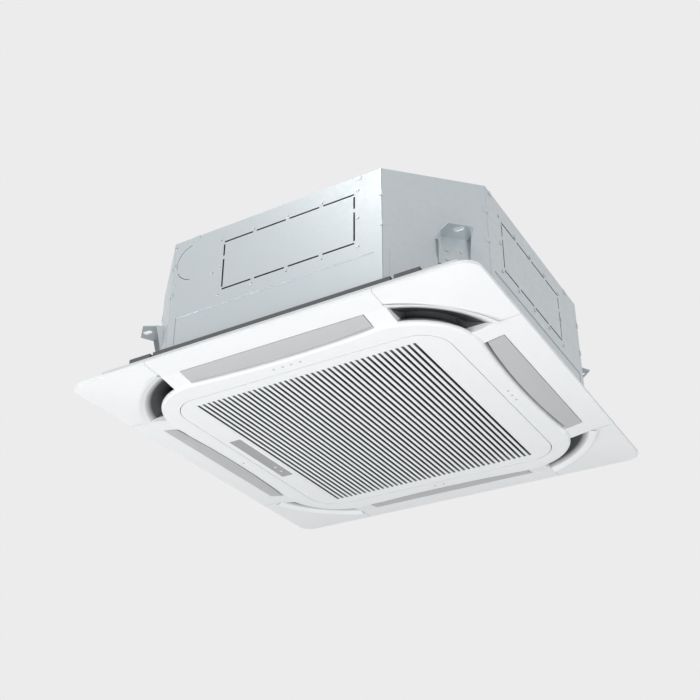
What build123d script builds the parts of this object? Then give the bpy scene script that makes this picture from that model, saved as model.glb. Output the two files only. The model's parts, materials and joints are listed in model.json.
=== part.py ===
"""Four-way ceiling cassette fan coil unit, closed, hanging above and below a ceiling whose lower face is z = 0.

+Z is up, the front side faces -Y, the right side faces +X. Sizes are in millimetres.
"""

from build123d import *
from math import cos, radians, sin, sqrt
import os

os.makedirs("parts", exist_ok=True)

# Panel, seen from below
panel_side = 950.0
panel_corner_r = 34.0
rim_edge = 7.0
rim_fall = 3.5
panel_drop = 23.5
outlet_half = 420.0
outlet_end = 219.0
pillar_fall = 7.0
box_half = 434.0
box_corner_r = 20.0
box_top = 37.0
box_wall = 3.0
pocket_floor = 4.0
duct_top_half = 402.0
cell_count = 6
cell_rib = 4.0
cover_edge = 267.0
cover_wall = 3.0
cover_gap = 0.3
deck_thickness = 3.0

# Inner ring round the grille
ring_half = 377.0
ring_corner_r = 150.0
ring_scoop = 11.0
ring_scoop_half = 225.0
ring_edge_r = 7.0
ring_wall = 3.0
intake_half = 326.0
intake_corner_r = 72.0

# Corner outlets: a sloping recess under a slot that leans in behind the ring
recess_low = 15.0
recess_end = 432.0
recess_mid = 366.5
throat_level = 11.0
throat_end = 361.0
throat_mid = 327.0
throat_inner_end = 341.0
throat_inner_mid = 314.0

# Louvres
louvre_gap = 2.0
louvre_thickness = 3.2
louvre_outer_z = 10.8
louvre_mid_half = 396.0
louvre_mid_z = 15.6
louvre_inner_half = 372.0
louvre_inner_z = 18.6
louvre_bow = 12.0
pivot_half = 392.5
pivot_z = -6.0
pin_r = 3.0
running_gap = 0.05
ear_r = 6.0
ear_thickness = 4.0
pin_reach = 12.0
bush_r = 5.0
bush_length = 9.0
motor_r = 12.0
motor_length = 19.0
motor_offset = 10.0
motor_shaft_r = 2.5

# Intake grille and filter
grille_gap = 2.0
grille_corner_r = 70.0
plate_thickness = 3.0
skirt_thickness = 2.5
skirt_top = -10.0
slot_count = 41
slot_pitch = 13.1
slot_width = 6.5
slot_half = 264.0
groove_half = 300.0
groove_depth = 5.0
slat_depth = 11.0
slat_frame_x = 268.5
slat_frame_y = 304.0
rib_pitch = 133.0
rib_width = 8.0
hinge_y = 296.0
hinge_z = -20.0
hinge_x = 285.0
hinge_pin_r = 1.3
hinge_pin_length = 28.0
barrel_r = 2.8
hinge_ear_r = 2.4
hinge_skin = 0.8
barrel_length = 16.0
hinge_ear = 3.0
hinge_arm_z = 14.0
hinge_arm_thickness = 6.0
latch_x = 180.0
latch_width = 26.0
latch_depth = 12.0
latch_height = 7.0
nose_width = 16.0
nose_reach = 328.2
nose_low = -18.0
nose_height = 4.0
latch_travel = 4.2
filter_half_x = 268.0
filter_front = -304.0
filter_back = 278.0
filter_border = 8.0
filter_height = 6.0
mesh_thickness = 0.8
filter_bars = 3
bar_width = 3.0

# Display
window_x = -295.0
window_y = -4.0
window_width = 30.0
window_length = 223.0
window_depth = 2.0
window_lip = 3.0
lens_r = 3.5
lens_places = (53.0, 78.0)
board_thickness = 1.6

# Casing
case_half = 420.0
case_flat_half = 262.0
case_top = 327.0
sheet = 1.2
bead_height = 3.0
bead_width = 22.0
bead_inner = 165.0
bead_outer = 372.0
base_height = 98.0
foot_width = 16.0
band_top = 126.0
liner_thickness = 20.0
knock_width = 323.0
knock_height = 122.0
knock_z = 223.0
dash_width = 4.0
dash_gap = 9.0
dash_short = 30.0
round_knock_r = 45.0
round_knock_z = 262.0
round_knock_x = -206.0
round_slot = 1.4
seam = 0.15

# Hanging: rods on a rectangle
rod_x = 390.0
rod_y = 340.0
rod_hole_r = 6.5
rod_slot = 24.0
bracket_half = 34.0
bracket_tip_half = 26.0
bracket_reach = 47.0
bracket_shoulder = 18.0
bracket_top = 180.0
bracket_bottom = 112.0
bracket_sheet = 2.5

# Air side
pan_height = 62.0
pan_floor = 22.0
pan_rim = 4.0
pan_bridge = 26.0
trough_half = 345.0
trough_corner_r = 150.0
trough_inner_half = 283.0
trough_inner_r = 100.0
pan_hole_r = 240.0
coil_half = 335.0
coil_corner_r = 130.0
coil_thickness = 38.0
coil_open = 225.0
end_plate = 1.5
bell_r = 236.0
bell_curve = 76.0
bell_wall = 2.5
bell_lip = 12.0
bell_flange_r = 262.0
fan_r = 235.0
fan_eye_r = 168.0
fan_bottom = 117.0
shroud_low = 160.0
fan_top = 285.0
fan_wall = 3.0
blade_count = 7
blade_inner_r = 135.0
blade_sweep = 38.0
blade_thickness = 4.5
hub_r = 79.0
hub_cone_r = 100.0
hub_floor = 222.0
hub_boss_r = 18.0
hub_boss_low = 198.0
shaft_r = 6.0
shaft_low = 182.0
drive_r = 69.0
drive_low = 236.0
drive_high = 304.0
drive_boss_r = 16.0
mount_plate_r = 95.0
mount_plate = 2.5
mount_circle_r = 80.0
mount_r = 9.0
nut_across = 19.0
nut_height = 10.0

# Water side, in the back left corner where the pipes leave
pipe_r = 9.0
header_r = 11.0
header_low = 104.0
header_high = 280.0
union_r = 16.0
union_length = 30.0
pipe_out = 40.0
pipe_bore_r = 7.0
socket_r = 12.5
inlet_along = -40.0
inlet_in = 86.0
inlet_z = 165.0
outlet_along = -78.0
outlet_in = 50.0
outlet_z = 215.0
pump_x = -290.0
pump_y = 262.0
pump_r = 26.0
pump_height = 68.0
hose_r = 10.0
drain_z = 230.0
drain_r = 16.0
drain_along = -4.0
socket_depth = 22.0
bend_r = 10.5
coil_tube_r = 3.5
bend_pitch = 36.0
grommet_along = -92.0
grommet_z = 150.0
float_x = -255.0
float_y = 285.0
float_rod_r = 3.0
float_r = 11.0
float_height = 20.0
float_travel = 12.0

# Control box beside the bellmouth, over the filter
board_level = 12.0
board_width = 66.0
board_length = 240.0
board_y = -60.0
terminal_y = 140.0
control_x = -277.0
control_width = 82.0
control_length = 400.0
control_low = 2.0
control_sheet = 1.0
grommet_r = 12.0

# Foam strips and panel screws
foam_height = 10.0
foam_inner = 422.5
foam_width = 11.0
foam_long = 568.0
foam_gap = 8.0
foam_short = 55.0
screw_x = 285.0
screw_y = 390.0
screw_r = 2.5
screw_head_r = 6.0
screw_head = 5.0
screw_seat = 16.0

TURNS = {"front": 0, "right": 90, "back": 180, "left": 270}
CORNERS = {"front_right": 0, "back_right": 90, "back_left": 180, "front_left": 270}

grille_half = intake_half - grille_gap
rim_slope = rim_fall / (panel_side / 2 - outlet_half)
duct_slope = (outlet_half - duct_top_half) / (box_top + rim_edge + rim_fall)
deep = panel_drop + 0.5
pan_bottom = box_top + sheet
pan_top = pan_bottom + pan_height
ring_top = pan_bottom - 0.2
case_wall_top = case_top - sheet
corner_face = (case_half + case_flat_half) / sqrt(2)
corner_half = (case_half - case_flat_half) / sqrt(2)
rod_along = (rod_x - rod_y) / sqrt(2)
liner_inset = 2 * sheet + 0.2
liner_inner = case_half - liner_inset - liner_thickness
slab_low = 312.0
coil_low = pan_bottom + pan_floor + 0.2
coil_high = slab_low - 0.2
bell_low = pan_bottom - bell_wall


def along_side(turn):
    """Unit vector along a side, for a turn of 0 at the front."""
    return Vector(cos(radians(turn)), sin(radians(turn)), 0)


def outward(turn):
    """Unit vector out of a side, for a turn of 0 at the front."""
    return Vector(sin(radians(turn)), -cos(radians(turn)), 0)


def plan(turn, z):
    """Horizontal plane whose x runs along a side and whose -y points out of it."""
    return Plane(origin=(0, 0, z), x_dir=along_side(turn), z_dir=(0, 0, 1))


def section(turn, shift=0.0):
    """Upright plane across a side: x is the distance outwards, y is the height."""
    return Plane(origin=along_side(turn) * shift, x_dir=outward(turn), z_dir=along_side(turn) * -1)


def octagon(inset, mode=Mode.ADD):
    """Outline of the casing, drawn in by an inset."""
    half = case_half - inset
    flat = case_half + case_flat_half - inset * sqrt(2) - half
    points = [(flat, -half), (half, -flat), (half, flat), (flat, half)]
    points += [(-x, -y) for x, y in points]
    Polygon(*points, align=None, mode=mode)


def upright(turn, distance):
    """Upright plane facing out: x runs along the side and y is the height."""
    return Plane(origin=outward(turn) * distance, x_dir=along_side(turn), z_dir=outward(turn))


def back_left(along, inward, z=0.0):
    """Point behind the back left corner's face."""
    turn = CORNERS["back_left"] + 45
    return outward(turn) * (corner_face - inward) + along_side(turn) * along + Vector(0, 0, z)


def tube(start, end, radius, mode=Mode.ADD):
    """Round bar between two points."""
    step = end - start
    with BuildSketch(Plane(origin=start, z_dir=step)) as disc:
        Circle(radius)
    extrude(disc.sketch, amount=step.length, mode=mode)


def corner_outline(end, mid, inner_end, inner_mid):
    """Bent strip across the corner at the end of the front side, from an outer to an inner arc."""
    with BuildLine() as outline:
        ThreePointArc((cover_edge, -end), (mid, -mid), (end, -cover_edge))
        Line((end, -cover_edge), (inner_end, -cover_edge))
        ThreePointArc((inner_end, -cover_edge), (inner_mid, -inner_mid), (cover_edge, -inner_end))
        Line((cover_edge, -inner_end), (cover_edge, -end))
    make_face(outline.edges())


def corner_recess(turn, grow=0.0):
    """Leaning air space of one corner outlet, widened outwards by grow."""
    ring_side = ring_half - ring_corner_r
    ring_end = ring_side + sqrt(ring_corner_r**2 - (cover_edge - ring_side) ** 2)
    ring_mid = ring_side + ring_corner_r / sqrt(2)
    with BuildPart() as space:
        with BuildSketch(plan(turn, -recess_low)):
            corner_outline(recess_end + 1.2 * grow, recess_mid + 0.8 * grow, ring_end, ring_mid)
        with BuildSketch(plan(turn, throat_level)):
            corner_outline(throat_end + 1.2 * grow, throat_mid + 0.8 * grow, throat_inner_end, throat_inner_mid)
        loft(ruled=True)
    return space.part


def rim_body(raise_by=0.0, trim=0.0):
    """Corner piece stock: the rim with its sloping underside carried on inwards."""
    reach = 125.0
    inner = panel_side - 2 * reach
    with BuildPart() as stock:
        with BuildSketch(Plane.XY.offset(-rim_edge + raise_by)):
            RectangleRounded(panel_side - 2 * trim, panel_side - 2 * trim, panel_corner_r - trim)
        with BuildSketch(Plane.XY.offset(-rim_edge - rim_slope * reach + raise_by)):
            RectangleRounded(inner, inner, panel_corner_r / 2)
        loft(ruled=True)
        with BuildSketch(Plane.XY.offset(-rim_edge + raise_by)):
            RectangleRounded(panel_side - 2 * trim, panel_side - 2 * trim, panel_corner_r - trim)
        extrude(amount=rim_edge - raise_by)
    return stock.part


# Inner ring: a hollow moulding whose sides bow in where the louvres are
with BuildPart() as ring:
    scoop_r = (ring_scoop_half**2 + ring_scoop**2) / (2 * ring_scoop)
    with BuildSketch(Plane.XY.offset(-panel_drop)):
        RectangleRounded(2 * ring_half, 2 * ring_half, ring_corner_r)
        with PolarLocations(ring_half - ring_scoop + scoop_r, 4):
            Circle(scoop_r, mode=Mode.SUBTRACT)
    extrude(amount=panel_drop + box_top)
    fillet(ring.faces().sort_by(Axis.Z)[0].outer_wire().edges(), ring_edge_r)
    with BuildSketch(Plane.XY.offset(-deep)):
        RectangleRounded(2 * intake_half, 2 * intake_half, intake_corner_r)
    extrude(amount=deep + ring_top, mode=Mode.SUBTRACT)
    with BuildSketch(Plane.XY.offset(box_top)):
        lip_half = intake_half + ring_wall
        RectangleRounded(2 * lip_half, 2 * lip_half, intake_corner_r + ring_wall)
        RectangleRounded(2 * intake_half, 2 * intake_half, intake_corner_r, mode=Mode.SUBTRACT)
    extrude(amount=ring_top - box_top)
    hollow = ring_half - ring_scoop - intake_half - 2 * ring_wall
    for turn in TURNS.values():
        with BuildSketch(plan(turn, -panel_drop + ring_wall)):
            with Locations((0, -intake_half - ring_wall - hollow / 2)):
                Rectangle(2 * ring_scoop_half, hollow)
        extrude(amount=panel_drop + ring_top, mode=Mode.SUBTRACT)

# Cutter for the open cells behind the rim
with BuildPart() as cells:
    cell_length = (2 * outlet_end - cell_rib) / cell_count - cell_rib
    cell_outer = box_half - box_wall
    for turn in TURNS.values():
        for cell in range(cell_count):
            shift = (cell - (cell_count - 1) / 2) * (cell_length + cell_rib)
            with BuildSketch(section(turn, shift)):
                with BuildLine():
                    Polyline(
                        (outlet_half + 1.5 * box_wall, -pocket_floor),
                        (cell_outer, -pocket_floor),
                        (cell_outer, box_top + 1),
                        (duct_top_half + 1.5 * box_wall, box_top + 1),
                        close=True,
                    )
                make_face()
            extrude(amount=cell_length / 2, both=True)

with BuildPart() as panel_frame:
    with BuildSketch(Plane.XY.offset(-rim_edge)):
        RectangleRounded(panel_side, panel_side, panel_corner_r)
    extrude(amount=rim_edge)
    with BuildSketch(Plane.XY.offset(-rim_edge)):
        RectangleRounded(panel_side, panel_side, panel_corner_r)
    with BuildSketch(Plane.XY.offset(-rim_edge - rim_fall)):
        RectangleRounded(2 * outlet_half, 2 * outlet_half, panel_corner_r / 2)
    loft(ruled=True)
    with BuildSketch(Plane.XY.offset(-rim_edge - rim_fall)):
        RectangleRounded(2 * outlet_half, 2 * outlet_half, panel_corner_r / 2)
    with BuildSketch(Plane.XY.offset(-rim_edge - rim_fall - pillar_fall)):
        RectangleRounded(2 * ring_half, 2 * ring_half, panel_corner_r / 2)
    loft(ruled=True)
    with BuildSketch(Plane.XY):
        RectangleRounded(2 * box_half, 2 * box_half, box_corner_r)
    extrude(amount=box_top)

    # Space for the corner covers, under a thin deck
    corner_space = panel_side / 2 - cover_edge + 1
    deck_inset = cover_wall + cover_gap
    deck_side = panel_side - 2 * deck_inset
    for turn in TURNS.values():
        with BuildSketch(plan(turn, -deep)):
            with Locations((cover_edge + corner_space / 2, -cover_edge - corner_space / 2)):
                Rectangle(corner_space, corner_space)
        extrude(amount=deep - deck_thickness, mode=Mode.SUBTRACT)
        with BuildSketch(plan(turn, -deck_thickness)):
            with Locations((cover_edge + corner_space / 2, -cover_edge - corner_space / 2)):
                Rectangle(corner_space, corner_space)
            RectangleRounded(deck_side, deck_side, panel_corner_r - deck_inset, mode=Mode.SUBTRACT)
        extrude(amount=deck_thickness, mode=Mode.SUBTRACT)
        add(corner_recess(turn, cover_wall + 2 * cover_gap), mode=Mode.SUBTRACT)

    # Outlet duct of each side, narrowing upwards
    inner_reach = ring_half - ring_scoop - 2 * ring_wall
    for turn in TURNS.values():
        with BuildSketch(section(turn)):
            with BuildLine():
                low_half = outlet_half + duct_slope * (deep - rim_edge - rim_fall)
                high_half = duct_top_half - duct_slope
                Polyline(
                    (inner_reach, -deep),
                    (low_half, -deep),
                    (high_half, box_top + 1),
                    (inner_reach, box_top + 1),
                    close=True,
                )
            make_face()
        extrude(amount=outlet_end, both=True, mode=Mode.SUBTRACT)

    # Intake opening, then the ring in its place
    with BuildSketch(Plane.XY.offset(-deep)):
        RectangleRounded(2 * intake_half, 2 * intake_half, intake_corner_r)
    extrude(amount=deep + box_top, mode=Mode.SUBTRACT)
    add(ring.part)

    # Corner outlets through frame and ring
    for turn in TURNS.values():
        add(corner_recess(turn, cover_wall + 2 * cover_gap), mode=Mode.SUBTRACT)
        with BuildSketch(plan(turn, throat_level - 0.01)):
            corner_outline(throat_end, throat_mid, throat_inner_end, throat_inner_mid)
        extrude(amount=ring_top, mode=Mode.SUBTRACT)

    # Open cells behind the rim, between stiffening ribs
    add(cells.part, mode=Mode.SUBTRACT)
    for turn in TURNS.values():
        with BuildSketch(plan(turn, pocket_floor + 2)):
            with BuildLine():
                start = cover_edge + box_wall
                far = box_half - box_wall
                Polyline((start, -far), (far, -far), (far, -start), (far - 26, -start))
                ThreePointArc((far - 26, -start), (throat_mid + 25, -throat_mid - 25), (start, -far + 26))
                Line((start, -far + 26), (start, -far))
            make_face()
        extrude(amount=box_top, mode=Mode.SUBTRACT)

    # Motor rooms in the pillars and bush seats in their walls
    for turn in TURNS.values():
        room_half = (cover_edge - outlet_end) / 2 - box_wall - 1
        room_x = (outlet_end + cover_edge) / 2
        with BuildSketch(plan(turn, pivot_z + motor_offset - motor_r - 0.2)):
            with Locations((-room_x, -pivot_half), (room_x, -pivot_half)):
                Rectangle(2 * room_half, 2 * motor_r + 3)
        extrude(amount=box_top + motor_r, mode=Mode.SUBTRACT)
        with BuildSketch(section(turn)):
            with Locations((pivot_half, pivot_z)):
                Circle(bush_r)
        extrude(amount=outlet_end + pin_reach + 4, both=True, mode=Mode.SUBTRACT)

    # Hinge arms at the back of the intake: an arm from the ring's wall and two ears hanging from it
    for side in (-1, 1):
        arm_width = barrel_length + 2 * (hinge_ear + 1)
        with BuildSketch(Plane.XY.offset(hinge_arm_z)):
            with Locations((side * hinge_x, (hinge_y - hinge_ear_r + intake_half) / 2)):
                Rectangle(arm_width, intake_half - hinge_y + hinge_ear_r)
        extrude(amount=hinge_arm_thickness)
        for ear in (-1, 1):
            place = side * hinge_x + ear * (arm_width - hinge_ear) / 2
            with BuildSketch(Plane.YZ.offset(place)):
                with Locations((hinge_y, hinge_z)):
                    Circle(hinge_ear_r)
                with Locations((hinge_y, (hinge_z + hinge_arm_z) / 2)):
                    Rectangle(2 * hinge_ear_r, hinge_arm_z - hinge_z)
            extrude(amount=hinge_ear / 2, both=True)
        with BuildSketch(Plane.YZ.offset(side * hinge_x)):
            with Locations((hinge_y, hinge_z)):
                Circle(hinge_pin_r + 0.02)
        extrude(amount=hinge_pin_length, both=True, mode=Mode.SUBTRACT)

        # Window for the latch's nose in the ring's front wall
        with BuildSketch(Plane.XZ.offset(intake_half - 1)):
            with Locations((side * latch_x, nose_low + nose_height / 2)):
                Rectangle(nose_width + 4, nose_height + 4)
        extrude(amount=ring_wall + 2, mode=Mode.SUBTRACT)

    # Holes for the four panel screws, with room for their heads
    for sx in (-1, 1):
        for sy in (-1, 1):
            with BuildSketch(Plane.XY.offset(throat_level)):
                with Locations((sx * screw_x, sy * screw_y)):
                    Circle(screw_r + 0.3)
            extrude(amount=box_top, mode=Mode.SUBTRACT)
            with BuildSketch(Plane.XY.offset(-deck_thickness)):
                with Locations((sx * screw_x, sy * screw_y)):
                    Circle(screw_head_r + 1)
            extrude(amount=deck_thickness + screw_seat, mode=Mode.SUBTRACT)
panel_frame.part.label = "panel_frame"
export_step(panel_frame.part, "parts/panel_frame.step")

# Corner covers: a thin plate that carries on the rim, with the outlet's sloping wall
for corner, turn in CORNERS.items():
    with BuildPart() as cover:
        add(rim_body())
        add(rim_body(cover_wall, cover_wall), mode=Mode.SUBTRACT)
        with BuildPart(mode=Mode.PRIVATE) as wall:
            add(corner_recess(turn, cover_wall))
        add(wall.part)
        add(corner_recess(turn), mode=Mode.SUBTRACT)
        with BuildSketch(Plane.XY.offset(-deep)):
            ring_room = 2 * (ring_half + cover_gap)
            RectangleRounded(ring_room, ring_room, ring_corner_r + cover_gap)
        extrude(amount=deep, mode=Mode.SUBTRACT)
        with BuildSketch(plan(turn, -deep)):
            with BuildLine():
                near = cover_edge + cover_gap
                far = panel_side / 2 + 1
                Polyline((near, -far), (far, -far), (far, -near), (throat_end - 4, -near))
                ThreePointArc((throat_end - 4, -near), (throat_mid - 3, -throat_mid + 3), (near, -throat_end + 4))
                Line((near, -throat_end + 4), (near, -far))
            make_face()
        extrude(amount=deep + throat_level, mode=Mode.INTERSECT)
    cover.part.label = "corner_cover_" + corner
    export_step(cover.part, "parts/corner_cover_" + corner + ".step")

# Louvres: a bowed blade with an ear and a pin at each end
blade_end = outlet_end - louvre_gap
for side_name, turn in TURNS.items():
    with BuildPart() as louvre:
        with BuildSketch(section(turn)):
            with BuildLine():
                outer = outlet_half - louvre_gap
                lower = ThreePointArc(
                    (outer, -louvre_outer_z),
                    (louvre_mid_half, -louvre_mid_z),
                    (louvre_inner_half - 1, -louvre_inner_z),
                )
                upper = ThreePointArc(
                    (louvre_inner_half - 1, -louvre_inner_z + louvre_thickness),
                    (louvre_mid_half, -louvre_mid_z + louvre_thickness),
                    (outer, -louvre_outer_z + louvre_thickness),
                )
                Line(lower @ 1, upper @ 0)
                Line(upper @ 1, lower @ 0)
            make_face()
        extrude(amount=blade_end, both=True)
        bow_r = (blade_end**2 + louvre_bow**2) / (2 * louvre_bow)
        with BuildSketch(plan(turn, -deep)):
            with Locations((0, -louvre_inner_half - bow_r)):
                Circle(bow_r)
        extrude(amount=deep, mode=Mode.INTERSECT)
        for end in (-1, 1):
            with BuildSketch(section(turn, end * (blade_end - ear_thickness / 2))):
                with Locations((pivot_half, pivot_z)):
                    Circle(ear_r)
                with Locations((pivot_half + 2, (pivot_z - louvre_mid_z + 2) / 2)):
                    Rectangle(2 * ear_r - 4, louvre_mid_z - 2 + pivot_z)
            extrude(amount=ear_thickness / 2, both=True)
            with BuildSketch(section(turn, end * (blade_end + pin_reach / 2 - 1))):
                with Locations((pivot_half, pivot_z)):
                    Circle(pin_r)
            extrude(amount=pin_reach / 2 + 1, both=True)
    louvre.part.label = "louvre_" + side_name
    export_step(louvre.part, "parts/louvre_" + side_name + ".step")

with BuildPart() as louvre_bushes:
    for turn in TURNS.values():
        for end in (-1, 1):
            with BuildSketch(section(turn, end * (outlet_end + bush_length / 2))):
                with Locations((pivot_half, pivot_z)):
                    Circle(bush_r)
                    Circle(pin_r + running_gap, mode=Mode.SUBTRACT)
            extrude(amount=bush_length / 2, both=True)
louvre_bushes.part.label = "louvre_bushes"
export_step(louvre_bushes.part, "parts/louvre_bushes.step")

motor_start = outlet_end + pin_reach + 0.3
with BuildPart() as louvre_motors:
    for turn in TURNS.values():
        with BuildSketch(section(turn, motor_start + motor_length / 2 + 1)):
            with Locations((pivot_half, pivot_z + motor_offset)):
                Circle(motor_r)
        extrude(amount=motor_length / 2, both=True)
        with BuildSketch(section(turn, motor_start + 1)):
            with Locations((pivot_half, pivot_z)):
                Circle(motor_shaft_r)
        extrude(amount=1.5, both=True)
louvre_motors.part.label = "louvre_motors"
export_step(louvre_motors.part, "parts/louvre_motors.step")

# Intake grille: a plate with a skirt and a deeper field of slats
slat_top = -panel_drop + slat_depth
grille_plate_top = -panel_drop + plate_thickness
groove_top = -panel_drop + groove_depth
hinge_pocket_shift = 0.5

# Ends of the slat field, where the grooves run out
with BuildPart() as ramp_strips:
    with BuildSketch(Plane.XY.offset(-panel_drop)):
        with GridLocations(1, slot_half + slat_frame_y, 1, 2):
            Rectangle(2 * slat_frame_x, slat_frame_y - slot_half)
    extrude(amount=slat_depth)
    with BuildPart(mode=Mode.PRIVATE) as ramps:
        for end in (-1, 1):
            with BuildSketch(Plane.YZ):
                Polygon(
                    (end * groove_half, -panel_drop),
                    (end * (slot_half - 1), groove_top),
                    (end * (slot_half - 1), -deep),
                    (end * groove_half, -deep),
                    align=None,
                )
            extrude(amount=slot_width / 2, both=True)
    with GridLocations(slot_pitch, 1, slot_count, 1):
        add(ramps.part, mode=Mode.SUBTRACT)

with BuildPart() as intake_grille:
    with BuildSketch(Plane.XY.offset(-panel_drop)):
        RectangleRounded(2 * grille_half, 2 * grille_half, grille_corner_r)
        Rectangle(2 * slat_frame_x - 4, 2 * slat_frame_y - 4, mode=Mode.SUBTRACT)
    extrude(amount=plate_thickness)
    with BuildSketch(Plane.XY.offset(grille_plate_top)):
        RectangleRounded(2 * grille_half, 2 * grille_half, grille_corner_r)
        inner_skirt = grille_half - skirt_thickness
        RectangleRounded(
            2 * inner_skirt, 2 * inner_skirt, grille_corner_r - skirt_thickness, mode=Mode.SUBTRACT
        )
    extrude(amount=skirt_top - grille_plate_top)
    with BuildSketch(Plane.XY.offset(-panel_drop)):
        Rectangle(2 * slat_frame_x, 2 * slot_half)
        with GridLocations(slot_pitch, 1, slot_count, 1):
            Rectangle(slot_width, 2 * slot_half, mode=Mode.SUBTRACT)
    extrude(amount=groove_depth)
    with BuildSketch(Plane.XY.offset(groove_top)):
        Rectangle(2 * slat_frame_x, 2 * slot_half)
        with GridLocations(slot_pitch, rib_pitch, slot_count, 4):
            Rectangle(slot_width, rib_pitch - rib_width, mode=Mode.SUBTRACT)
    extrude(amount=slat_top - groove_top)
    add(ramp_strips.part)
    # Barrels of the hinge, and gaps in the skirt for the frame's ears
    for side in (-1, 1):
        with BuildSketch(Plane.YZ.offset(side * hinge_x)):
            with Locations((hinge_y, (hinge_z - panel_drop + plate_thickness) / 2)):
                Rectangle(2 * barrel_r, hinge_z - grille_plate_top)
            with Locations((hinge_y, hinge_z)):
                Circle(barrel_r)
        extrude(amount=barrel_length / 2, both=True)
        with BuildSketch(Plane.YZ.offset(side * hinge_x)):
            with Locations((hinge_y, hinge_z)):
                Circle(hinge_pin_r + running_gap)
        extrude(amount=barrel_length, both=True, mode=Mode.SUBTRACT)
        with BuildSketch(Plane.XY.offset(grille_plate_top)):
            with Locations((side * hinge_x, grille_half - 6)):
                Rectangle(arm_width + 4, 30)
        extrude(amount=slat_depth, mode=Mode.SUBTRACT)
        with BuildSketch(Plane.XY.offset(-panel_drop + hinge_skin)):
            with Locations((side * hinge_x, hinge_y + hinge_pocket_shift)):
                with GridLocations(arm_width - hinge_ear, 1, 2, 1):
                    Rectangle(hinge_ear + 1, 2 * hinge_ear_r + 2)
        extrude(amount=plate_thickness, mode=Mode.SUBTRACT)
        with BuildSketch(Plane.XZ.offset(grille_half - skirt_thickness - 0.5)):
            with Locations((side * latch_x, nose_low + nose_height / 2)):
                Rectangle(nose_width + 1, nose_height + 1)
        extrude(amount=skirt_thickness + 2, mode=Mode.SUBTRACT)
        for rail in (-1, 1):
            with BuildSketch(Plane.XY.offset(grille_plate_top)):
                rail_x = side * latch_x + rail * (latch_width / 2 + 1.2)
                with Locations((rail_x, -slat_frame_y - latch_depth / 2)):
                    Rectangle(1.8, latch_depth)
            extrude(amount=latch_height)
    with BuildSketch(Plane.XY.offset(-panel_drop)):
        with Locations((window_x, window_y)):
            Rectangle(window_width + 0.3, window_length + 0.3)
    extrude(amount=window_depth, mode=Mode.SUBTRACT)
    with BuildSketch(Plane.XY.offset(-panel_drop)):
        with Locations((window_x, window_y)):
            Rectangle(window_width - 2 * window_lip, window_length - 2 * window_lip)
    extrude(amount=plate_thickness, mode=Mode.SUBTRACT)
intake_grille.part.label = "intake_grille"
export_step(intake_grille.part, "parts/intake_grille.step")

with BuildPart() as grille_hinge_pins:
    for side in (-1, 1):
        with BuildSketch(Plane.YZ.offset(side * hinge_x)):
            with Locations((hinge_y, hinge_z)):
                Circle(hinge_pin_r)
        extrude(amount=hinge_pin_length / 2, both=True)
grille_hinge_pins.part.label = "grille_hinge_pins"
export_step(grille_hinge_pins.part, "parts/grille_hinge_pins.step")

latch_back = -slat_frame_y - latch_travel - 0.3
for side, name in ((-1, "latch_left"), (1, "latch_right")):
    with BuildPart() as latch:
        with BuildSketch(Plane.XY.offset(grille_plate_top + 0.2)):
            with Locations((side * latch_x, latch_back - latch_depth / 2)):
                Rectangle(latch_width, latch_depth)
        extrude(amount=latch_height)
        with BuildSketch(Plane.XY.offset(nose_low)):
            with Locations((side * latch_x, -(nose_reach - latch_back) / 2)):
                Rectangle(nose_width, nose_reach + latch_back)
        extrude(amount=nose_height)
    latch.part.label = name
    export_step(latch.part, "parts/" + name + ".step")

# Filter: a bordered frame with bars over a thin mesh
filter_low = slat_top + 0.2
filter_length = filter_back - filter_front
filter_y = (filter_back + filter_front) / 2
with BuildPart() as filter_frame:
    with BuildSketch(Plane.XY.offset(filter_low)):
        with Locations((0, filter_y)):
            Rectangle(2 * filter_half_x, filter_length)
            Rectangle(
                2 * (filter_half_x - filter_border), filter_length - 2 * filter_border, mode=Mode.SUBTRACT
            )
    extrude(amount=filter_height)
    bar_gap = 2 * (filter_half_x - filter_border) / (filter_bars + 1)
    with BuildSketch(Plane.XY.offset(filter_low + mesh_thickness)):
        with Locations((0, filter_y)):
            with GridLocations(bar_gap, 1, filter_bars, 1):
                Rectangle(bar_width, filter_length - filter_border)
            with GridLocations(1, bar_gap, 1, filter_bars):
                Rectangle(2 * filter_half_x - filter_border, bar_width)
    extrude(amount=bar_width)
filter_frame.part.label = "filter_frame"
export_step(filter_frame.part, "parts/filter_frame.step")

with BuildPart() as filter_mesh:
    with BuildSketch(Plane.XY.offset(filter_low)):
        with Locations((0, filter_y)):
            Rectangle(2 * (filter_half_x - filter_border), filter_length - 2 * filter_border)
    extrude(amount=mesh_thickness)
filter_mesh.part.label = "filter_mesh"
export_step(filter_mesh.part, "parts/filter_mesh.step")

with BuildPart() as display_window:
    with BuildSketch(Plane.XY.offset(-panel_drop)):
        with Locations((window_x, window_y)):
            Rectangle(window_width, window_length)
        with Locations(*[(window_x, y) for y in lens_places]):
            Circle(lens_r + 0.1, mode=Mode.SUBTRACT)
    extrude(amount=window_depth)
display_window.part.label = "display_window"
export_step(display_window.part, "parts/display_window.step")

with BuildPart() as indicator_lenses:
    with BuildSketch(Plane.XY.offset(-panel_drop)):
        with Locations(*[(window_x, y) for y in lens_places]):
            Circle(lens_r)
    extrude(amount=plate_thickness)
indicator_lenses.part.label = "indicator_lenses"
export_step(indicator_lenses.part, "parts/indicator_lenses.step")

with BuildPart() as display_board:
    with BuildSketch(Plane.XY.offset(grille_plate_top + 0.1)):
        with Locations((window_x, window_y)):
            Rectangle(window_width - window_lip, window_length - window_lip)
    extrude(amount=board_thickness)
display_board.part.label = "display_board"
export_step(display_board.part, "parts/display_board.step")

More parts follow.
